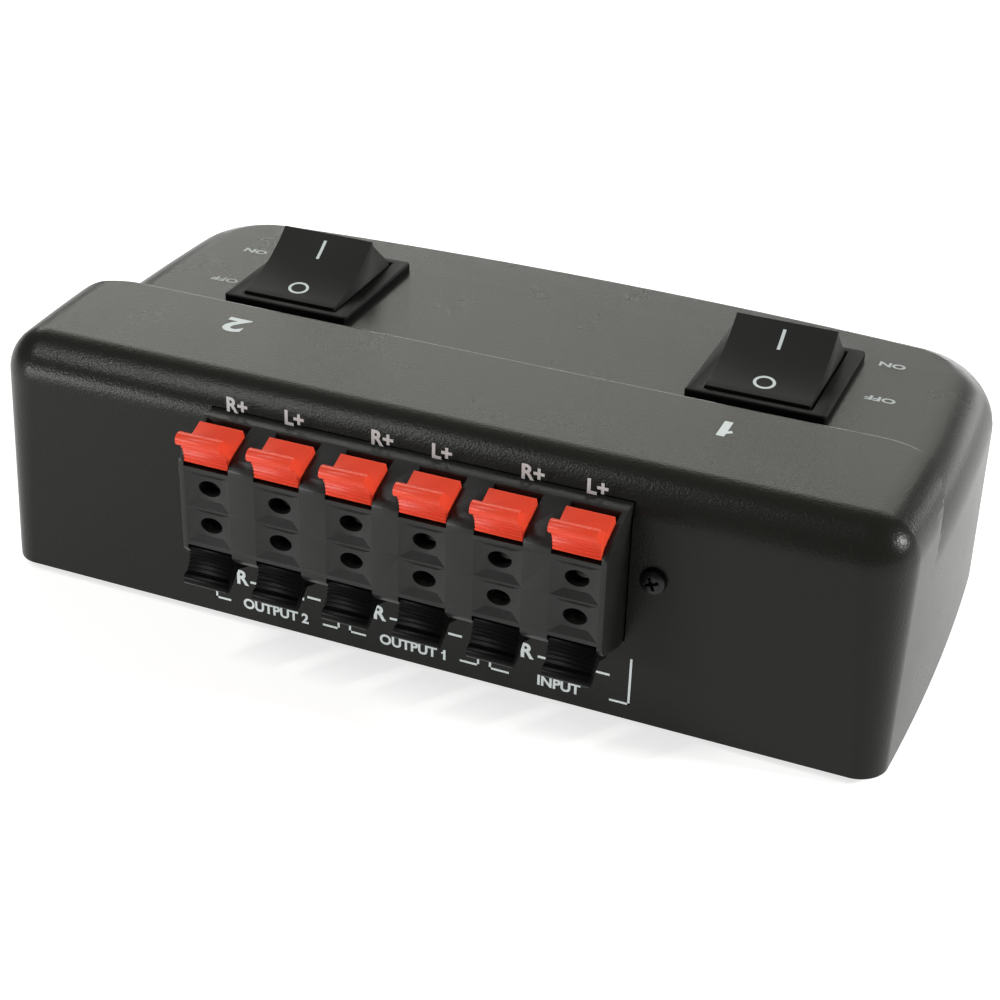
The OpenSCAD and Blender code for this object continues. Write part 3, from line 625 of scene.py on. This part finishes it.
def rear_print():
    """The signs above and below the block, and the words with their brackets."""
    # the rear wall, read from behind: across is -X and up is +Z
    lift = bpy.context.scene.switch_sizes.print_lift
    rear = Matrix(((-1, 0, 0, 0), (0, 0, 1, REAR_Y + lift / 2), (0, 1, 0, 0), (0, 0, 0, 1)))
    upper = [("R+", -32.7), ("L+", -21.9), ("R+", -5.7), ("L+", 5.0), ("R+", 20.9),
             ("L+", 31.9)]
    lower = [("R", -33.2), ("L", -21.9), ("R", -6.4), ("L", 4.9), ("R", 21.0), ("L", 31.6)]
    under = [("OUTPUT 2", -26.6), ("OUTPUT 1", 0.2), ("INPUT", 27.0)]
    words = [(t, (u * MM, 42.65 * MM), UPPER_SIGN, 0.95) for t, u in upper]
    words += [(t, (u * MM, 8.4 * MM), LOWER_SIGN, 0.95) for t, u in lower]
    words += [(t, (u * MM, REAR_WORD_Z), REAR_WORD, 1.0) for t, u in under]
    bm = lettering("rear_print", words, rear)
    minus = [((u * MM, 8.0 * MM), ((u + 2.1) * MM, 8.0 * MM)) for u in
             (-31.3, -20.0, -4.1, 6.9, 23.3, 33.6)]
    strokes_into(bm, minus, 0.45 * MM, rear)
    # three brackets, one under each pair of columns; the last one's end stands taller
    ends = [(-38.4, -35.8, -17.1, -14.2, 5.2), (-12.0, -9.1, 9.1, 12.3, 5.2),
            (14.5, 17.8, 36.3, 39.5, 12.0)]
    lines = []
    for a, b, c, d, tall in ends:
        lines += [((a, 3.1), (b, 3.1)), ((a, 3.1), (a, 5.2)), ((c, 3.1), (d, 3.1)),
                  ((d, 3.1), (d, tall))]
    lines = [tuple((x * MM, y * MM) for x, y in line) for line in lines]
    strokes_into(bm, lines, 0.4 * MM, rear)
    flag_into(bm, (6.1 * MM, REAR_WORD_Z + REAR_WORD / 2), REAR_WORD, rear)
    return bm


def deck_print():
    """ON and OFF beside each rocker."""
    # the deck, read from the user's side: across is +X and up the page is +Y
    lift = bpy.context.scene.switch_sizes.print_lift
    deck = Matrix.Translation((0, 0, DECK_TOP + lift / 2 + 0.01 * MM))
    places = [("ON", -63.5, -24.4), ("OFF", -64.6, -10.2), ("ON", 64.5, -19.8),
              ("OFF", 63.2, -5.1)]
    words = [(t, (x * MM, y * MM), DECK_WORD, 1.3) for t, x, y in places]
    return lettering("deck_print", words, deck)


def ridge_print():
    """The rockers' figures, each in line with its rocker."""
    lift = bpy.context.scene.switch_sizes.print_lift
    ridge = Matrix.Translation((0, 0, RIDGE_TOP + lift / 2 + 0.01 * MM))
    places = {n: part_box(f"rocker_housing_{n}")[0].x + FRAME_HALF for n in (2, 1)}
    words = [(str(n), (x, FIGURE_Y), FIGURE, 1.25) for n, x in places.items()]
    bm = lettering("ridge_print", words, ridge)
    flag_into(bm, (places[1] + 0.2 * MM, FIGURE_Y + FIGURE / 2), FIGURE, ridge)
    return bm


class SWITCH_OT_print(bpy.types.Operator):
    """Print the signs on the cover"""

    bl_idname = "selector_switch.print"
    bl_label = "Printed signs"

    def execute(self, context):
        piece("rear_print", rear_print(), SHELL, "pad_print_ink")
        piece("deck_print", deck_print(), SHELL, "pad_print_ink_thin")
        piece("ridge_print", ridge_print(), SHELL, "pad_print_ink")
        return {"FINISHED"}


# ---------- base ----------


# how far the feet stand from the middle of the base plate
FOOT_X = 56 * MM
FOOT_Y = 31 * MM


def build_feet():
    """The four feet, each turned as a rounded disc with a shallow dish."""
    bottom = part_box("rubber_feet")[0].z
    # (radius, height) in millimetres
    section = [(0, 0.25), (3.6, 0.2), (4.3, 0), (5.4, 0), (5.8, 0.15), (5.95, 0.5), (6, 1.2),
               (6, 2.5), (0, 2.5)]
    bm = bmesh.new()
    for x in (-FOOT_X, FOOT_X):
        for y in (-FOOT_Y, FOOT_Y):
            turned_into(bm, [(x + r * MM, y, bottom + z * MM) for r, z in section], (x, y, 0),
                        (0, 0, 1), 48)
    close_up(bm)
    return bm


class SWITCH_OT_base(bpy.types.Operator):
    """Build the base plate, its feet and its screws"""

    bl_idname = "selector_switch.base"
    bl_label = "Base, feet and screws"

    def execute(self, context):
        bm = node_copy("base_plate")
        soften(bm, 0.3 * MM, angle=60)
        piece("base_plate_moulded", bm, SHELL, "abs_plain_moulded", ("base_plate",))
        piece("feet_turned", build_feet(), SHELL, "rubber_cast", ("rubber_feet",))
        bm = node_copy("case_screws")
        soften(bm, 0.12 * MM, angle=50)
        piece("case_screws_turned", bm, SHELL, "steel_zinc_plated", ("case_screws",))
        return {"FINISHED"}


# ---------- terminals ----------


BLOCK_HALF = 12.8 * MM
FACE_Y = 56 * MM
COLUMN_PITCH = 13.1 * MM
# wire holes, slightly oval
HOLE_WIDTH = 4.15 * MM
HOLE_HEIGHT = 2.95 * MM
# shallow funnels round the holes: half sides of the mouth and of the floor, depth, and how
# far their middles stand off the block's middle
FUNNEL_X = 4.15 * MM
FUNNEL_Z = 3.35 * MM
FUNNEL_FLOOR = (2.25 * MM, 2.2 * MM)
FUNNEL_DEPTH = MM
FUNNEL_RISE = 3.5 * MM
# half height and place of the CAD's deeper funnels, which are filled first
CAD_FUNNEL_Z = 3.05 * MM
CAD_FUNNEL_RISE = 3.6 * MM
# the block's sloping shoulders: how far they fall, how far back they start, the rounding of
# their front edges, and half the length of the cut, which passes the block's ends
SHOULDER_DROP = 3.3 * MM
SHOULDER_DEPTH = 8.9 * MM
SHOULDER_ROUND = 1.5 * MM
SHOULDER_REACH = 41 * MM
# how far the screws' cross recesses are turned, in radians
RECESS_TURN = 0.35


def build_block():
    """The terminal block: its CAD node with straight shoulders and shallow funnels."""
    block = solid(node_copy("terminal_housing"))
    # the wedge that the shoulders are cut to, with its two front edges rounded
    wedge = bmesh.new()
    back = FACE_Y - SHOULDER_DEPTH
    reach = SHOULDER_REACH + MM
    verts = box_into(wedge, (-reach, back, BLOCK_HEIGHT - BLOCK_HALF),
                     (reach, FACE_Y, BLOCK_HEIGHT + BLOCK_HALF))
    for v in verts:
        if v.co.y > FACE_Y - MM:
            v.co.z += -SHOULDER_DROP if v.co.z > BLOCK_HEIGHT else SHOULDER_DROP
    edges = [e for e in wedge.edges if all(v.co.y > FACE_Y - MM for v in e.verts)
             and abs(e.verts[0].co.x - e.verts[1].co.x) > MM]
    bmesh.ops.bevel(wedge, geom=edges, offset=SHOULDER_ROUND, offset_type="OFFSET",
                    segments=8, profile=0.5, affect="EDGES", material=-1)
    trim = bmesh.new()
    box_into(trim, (-SHOULDER_REACH, back + 0.05 * MM, BLOCK_HEIGHT - 15 * MM),
             (SHOULDER_REACH, FACE_Y + 2 * MM, BLOCK_HEIGHT + 15 * MM))
    trim = boolean(solid(trim), solid(wedge), "DIFFERENCE")
    boolean(block, trim, "DIFFERENCE")
    fill, cuts, holes = bmesh.new(), bmesh.new(), bmesh.new()
    for i in COLUMNS:
        x = ((len(COLUMNS) + 1) / 2 - i) * COLUMN_PITCH
        for sign in (-1, 1):
            z = BLOCK_HEIGHT + sign * CAD_FUNNEL_RISE
            box_into(fill, (x - FUNNEL_X, FACE_Y - 3.98 * MM, z - CAD_FUNNEL_Z),
                     (x + FUNNEL_X, FACE_Y - 0.005 * MM, z + CAD_FUNNEL_Z))
            z = BLOCK_HEIGHT + sign * FUNNEL_RISE
            mouth = box_into(cuts, (x - FUNNEL_X, FACE_Y - FUNNEL_DEPTH, z - FUNNEL_Z),
                             (x + FUNNEL_X, FACE_Y + 0.01 * MM, z + FUNNEL_Z))
            for v in mouth:
                if v.co.y < FACE_Y - FUNNEL_DEPTH / 2:
                    v.co.x = x + (v.co.x - x) * FUNNEL_FLOOR[0] / FUNNEL_X
                    v.co.z = z + (v.co.z - z) * FUNNEL_FLOOR[1] / FUNNEL_Z
            hole = rod_into(holes, (x, FACE_Y - 5 * MM, z + sign * 0.1 * MM), (0, 1, 0),
                            HOLE_WIDTH / 2, 6 * MM, 40)
            for v in hole:
                v.co.z = z + (v.co.z - z) * HOLE_HEIGHT / HOLE_WIDTH
    boolean(block, solid(fill), "UNION")
    boolean(block, solid(cuts), "DIFFERENCE")
    boolean(block, solid(holes), "DIFFERENCE")
    return reopened(block, join_flats=True)


def build_lever(node, up):
    """A press lever: its CAD node with a finger hollow between its plate and its lip."""
    lever = solid(node_copy(node))
    low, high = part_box(node)
    # (out from the rear wall, away from the block's middle) in millimetres
    section = ((5.0, 13.33), (8.7, 11.9), (11.62, 14.32), (11.9, 15.6), (5.0, 15.6))
    hollow = prism([(low.x - MM, REAR_Y + out * MM, BLOCK_HEIGHT + up * rise * MM)
                    for out, rise in section], (high.x - low.x + 2 * MM, 0, 0))
    bmesh.ops.recalc_face_normals(hollow, faces=hollow.faces)
    boolean(lever, solid(hollow), "DIFFERENCE")
    return reopened(lever)


def build_terminal_screws():
    """The two pan-head screws beside the block, turned, each with a deep cross recess."""
    low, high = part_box("terminal_screws")
    top = high.y
    # (radius, place along the screw)
    section = [(0, low.y), (1.0 * MM, low.y), (1.2 * MM, low.y + 0.4 * MM),
               (1.2 * MM, REAR_Y), (2.3 * MM, REAR_Y), (2.3 * MM, REAR_Y + 0.3 * MM),
               (2.1 * MM, top - 0.55 * MM), (1.6 * MM, top - 0.2 * MM),
               (0.9 * MM, top - 0.05 * MM), (0, top)]
    bm = bmesh.new()
    for x in (-SCREW_X, SCREW_X):
        turned_into(bm, [(x + r, y, BLOCK_HEIGHT) for r, y in section], (x, 0, BLOCK_HEIGHT),
                    (0, 1, 0), 40)
    close_up(bm)
    screws = solid(bm)
    for turn in (RECESS_TURN, RECESS_TURN + math.pi / 2):
        recess = bmesh.new()
        for x in (-SCREW_X, SCREW_X):
            blade = box_into(recess, (-1.45 * MM, top - 1.1 * MM, -0.3 * MM),
                             (1.45 * MM, top + 0.1 * MM, 0.3 * MM))
            for v in blade:
                if v.co.y < top - MM:
                    v.co.x *= 0.4
            bmesh.ops.rotate(recess, verts=blade, matrix=Matrix.Rotation(turn, 3, "Y"))
            bmesh.ops.translate(recess, verts=blade, vec=(x, 0, BLOCK_HEIGHT))
        boolean(screws, solid(recess), "DIFFERENCE")
    return reopened(screws, gap=0.001 * MM)


class SWITCH_OT_terminals(bpy.types.Operator):
    """Build the terminal block, its screws and the press levers"""

    bl_idname = "selector_switch.terminals"
    bl_label = "Terminal block and levers"

    def execute(self, context):
        edge = context.scene.switch_sizes.edge
        bm = build_block()
        soften(bm, edge, angle=40)
        piece("terminal_block", bm, SHELL, "abs_satin_moulded", ("terminal_housing",),
              sharp=30)
        piece("terminal_screws_turned", build_terminal_screws(), SHELL, "steel_black_oxide",
              ("terminal_screws",))
        for colour in ("red", "black"):
            for i in COLUMNS:
                node = f"{colour}_lever_{i}"
                bm = build_lever(node, 1 if colour == "red" else -1)
                soften(bm, edge, angle=30)
                piece(f"{colour}_press_lever_{i}", bm, node, f"polypropylene_{colour}",
                      (node,))
        finish_node("terminal_backplate", "phenolic_paper")
        finish_node("circuit_board", "epoxy_board_green")
        finish_node("upper_contacts", "brass_nickel_plated")
        finish_node("lower_contacts", "brass_nickel_plated")
        return {"FINISHED"}


# ---------- rockers ----------


PIVOT_Z = 35.9 * MM
REST_TILT = math.radians(-21)
# how far the cap's stop lets it sink past the CAD's rest, so that its low lip lies flush
SETTLE = math.radians(-1.6)


def build_cap(n, pivot, tilt):
    """A rocker's cap: its CAD node with flat ends under the two lips, settled at rest."""
    cap = node_copy(f"rocker_actuator_{n}")
    bmesh.ops.rotate(cap, verts=cap.verts, cent=pivot, matrix=Matrix.Rotation(SETTLE, 3, "X"))
    cap = solid(cap)
    # (out from the pivot, above it) in millimetres, before the cap is tilted
    section = ((9.05, 11.5), (9.05, 9.4), (13.02, 1.27), (16, 1.27), (16, 11.5))
    for side in (-1, 1):
        end = prism([(-15 * MM, side * y * MM, z * MM) for y, z in section], (30 * MM, 0, 0))
        bmesh.ops.transform(end, verts=end.verts, matrix=tilt)
        bmesh.ops.recalc_face_normals(end, faces=end.faces)
        boolean(cap, solid(end), "DIFFERENCE")
    return reopened(cap, join_flats=True)


def mark_on(bm, surface, place, along):
    """Drops flat marks on a surface along a direction, and keeps their lift."""
    lift = bpy.context.scene.switch_sizes.print_lift
    for v in bm.verts:
        height = v.co.z
        start = place @ Vector((v.co.x, v.co.y, 0))
        hit = surface.ray_cast(start, along)[0]
        if hit is None:
            raise RuntimeError("a mark misses the rocker")
        v.co = hit - along * (lift + height)


def build_marks(surface, tilt):
    """The bar and the oval ring that are printed on a tilted cap."""
    marks = bmesh.new()
    bar = box_into(marks, (-0.3 * MM, -7.5 * MM, 0), (0.3 * MM, -3.2 * MM, 0.01 * MM))
    edges = list({e for v in bar for e in v.link_edges
                  if abs(e.verts[0].co.y - e.verts[1].co.y) > MM})
    bmesh.ops.subdivide_edges(marks, edges=edges, cuts=8)
    inner = bmesh.ops.create_circle(marks, cap_ends=False, segments=48, radius=1.25 * MM)
    outer = bmesh.ops.create_circle(marks, cap_ends=False, segments=48, radius=1.75 * MM)
    ring = inner["verts"] + outer["verts"]
    bmesh.ops.bridge_loops(marks, edges=list({e for v in ring for e in v.link_edges}))
    oval = Matrix.Translation((0, 5.1 * MM, 0.01 * MM)) @ Matrix.Diagonal((1.16, 1, 1, 1))
    bmesh.ops.transform(marks, verts=ring, matrix=oval)
    mark_on(marks, surface, tilt @ Matrix.Translation((0, 0, 20 * MM)),
            tilt.to_3x3() @ Vector((0, 0, -1)))
    bmesh.ops.recalc_face_normals(marks, faces=marks.faces)
    return marks


class SWITCH_OT_rockers(bpy.types.Operator):
    """Build the two rocker switches"""

    bl_idname = "selector_switch.rockers"
    bl_label = "Rocker switches"

    def execute(self, context):
        for n in ROCKERS:
            body = f"rocker_{n}"
            bm = node_copy(f"rocker_housing_{n}")
            soften(bm, 0.35 * MM, angle=50, segments=3,
                   where=lambda e: min(v.co.z for v in e.verts) > DECK_TOP + 0.3 * MM)
            piece(f"rocker_frame_{n}", bm, SHELL, "nylon_moulded", (f"rocker_housing_{n}",))
            low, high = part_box(f"rocker_housing_{n}")
            middle = (low + high) / 2
            pivot = Vector((middle.x, middle.y, PIVOT_Z))
            tilt = Matrix.Translation(pivot) @ Matrix.Rotation(REST_TILT + SETTLE, 4, "X")
            bm = build_cap(n, pivot, tilt)
            soften(bm, 0.25 * MM, angle=20, segments=3,
                   where=lambda e: max(v.co.z for v in e.verts) > DECK_TOP)
            bmesh.ops.triangulate(bm, faces=[f for f in bm.faces if len(f.verts) > 4])
            surface = BVHTree.FromBMesh(bm)
            piece(f"rocker_cap_{n}", bm, body, "polycarbonate_black", (f"rocker_actuator_{n}",))
            piece(f"rocker_marks_{n}", build_marks(surface, tilt), body, "pad_print_ink")
            node = f"rocker_plungers_{n}"
            piece(f"plungers_{n}", node_copy(node), body, "acetal_turned", (node,))
            finish_node(f"rocker_bridges_{n}", "copper_rolled")
            finish_node(f"rocker_tabs_{n}", "brass_tinned")
            finish_node(f"rocker_springs_{n}", "spring_wire_drawn")
            finish_node(f"rocker_wires_{n}", "pvc_red")
        return {"FINISHED"}


# ---------- stage ----------


class SWITCH_OT_stage(bpy.types.Operator):
    """Lay the pale floor, light it softly and set the camera"""

    bl_idname = "selector_switch.stage"
    bl_label = "Floor, light and camera"

    def execute(self, context):
        scene = context.scene
        scene.view_settings.view_transform = "Standard"
        bm = bmesh.new()
        bmesh.ops.create_grid(bm, x_segments=8, y_segments=8, size=3.0)
        bmesh.ops.translate(bm, verts=bm.verts, vec=(0, 0, CAD_BOX[0].z))
        floor = solid(bm, "floor")
        # white acrylic table lit from below, as used for pictures without a hard shadow
        acrylic = finish("acrylic_light_table", linear("#cbcbc9"), tone=0.01, cloud=60,
                         rough=(0.55, 0.65), grain=1.0, relief=0.004,
                         **{"Emission Color": (1, 1, 1, 1), "Emission Strength": 0.7})
        floor.data.materials.append(acrylic)
        world = bpy.data.worlds.new("soft_room")
        scene.world = world
        world.use_nodes = True
        sky = world.node_tree.nodes["Background"]
        sky.inputs["Color"].default_value = (1, 1, 1, 1)
        sky.inputs["Strength"].default_value = 0.15

        def softbox(name, place, along, size, radiance, colour=(1, 1, 1)):
            """An even rectangle of light that faces the switch, with its long side along."""
            light = bpy.data.lights.new(name, "AREA")
            light.shape = "RECTANGLE"
            light.size, light.size_y = size
            light.energy = radiance * math.pi * size[0] * size[1]
            light.color = colour
            obj = bpy.data.objects.new(name, light)
            scene.collection.objects.link(obj)
            back = (Vector(place) - Vector((0, 0, 0.02))).normalized()
            side = Vector(along)
            side = (side - back * side.dot(back)).normalized()
            axes = Matrix((side, back.cross(side), back)).transposed().to_4x4()
            obj.matrix_world = Matrix.Translation(place) @ axes

        softbox("backdrop_softbox", (0.42, -1.24, 0.85), (1, 0, 0), (2.05, 0.52), 3.95,
                (1.0, 1.0, 0.92))
        softbox("horizon_strip", (0, -1.5, 0.12), (1, 0, 0), (2.2, 0.14), 9)
        softbox("overhead_strip", (0.54, 0.44, 0.95), (0.2, 0.36, -0.22), (0.6, 0.06), 46)
        softbox("left_card", (0.66, 0.82, 0.14), (0.8, -0.6, 0), (0.4, 0.2), 19)
        softbox("right_softbox", (-0.98, -0.17, 0.47), (0, 1, 0), (0.2, 0.14), 115)
        # the photo's viewpoint, behind the switch and to its left
        camera = bpy.data.objects.new("camera", bpy.data.cameras.new("camera"))
        scene.collection.objects.link(camera)
        camera.data.sensor_width = 36
        camera.data.lens = 71.855
        camera.data.clip_start, camera.data.clip_end = 0.01, 20
        camera.location = (-118.66 * MM, 304.52 * MM, 199.01 * MM)
        camera.rotation_euler = Euler([math.radians(a) for a in (59.791, -1.534, -157.411)])
        scene.camera = camera
        return {"FINISHED"}


class SWITCH_PT_panel(bpy.types.Panel):
    """Steps that build the switch, in order"""

    bl_idname = "SWITCH_PT_panel"
    bl_label = "Selector switch"
    bl_space_type = "VIEW_3D"
    bl_region_type = "UI"
    bl_category = "Selector switch"

    def draw(self, context):
        for step in STEPS:
            self.layout.operator(step.bl_idname)
        for group in (context.scene.switch_sizes, context.scene.switch_colours):
            box = self.layout.box()
            for key in group.__annotations__:
                box.prop(group, key)


STEPS = (SWITCH_OT_cover, SWITCH_OT_print, SWITCH_OT_base, SWITCH_OT_terminals,
         SWITCH_OT_rockers, SWITCH_OT_stage)
CLASSES = (SwitchColours, SwitchSizes, *STEPS, SWITCH_PT_panel)


def register():
    for c in CLASSES:
        bpy.utils.register_class(c)
    bpy.types.Scene.switch_sizes = PointerProperty(type=SwitchSizes)
    bpy.types.Scene.switch_colours = PointerProperty(type=SwitchColours)


def unregister():
    del bpy.types.Scene.switch_colours
    del bpy.types.Scene.switch_sizes
    for c in reversed(CLASSES):
        bpy.utils.unregister_class(c)


def main():
    register()
    ops = bpy.ops.selector_switch
    for step in (ops.cover, ops.print, ops.base, ops.terminals, ops.rockers, ops.stage):
        if step() != {"FINISHED"}:
            raise RuntimeError("a step didn't finish")


if __name__ == "__main__":
    main()
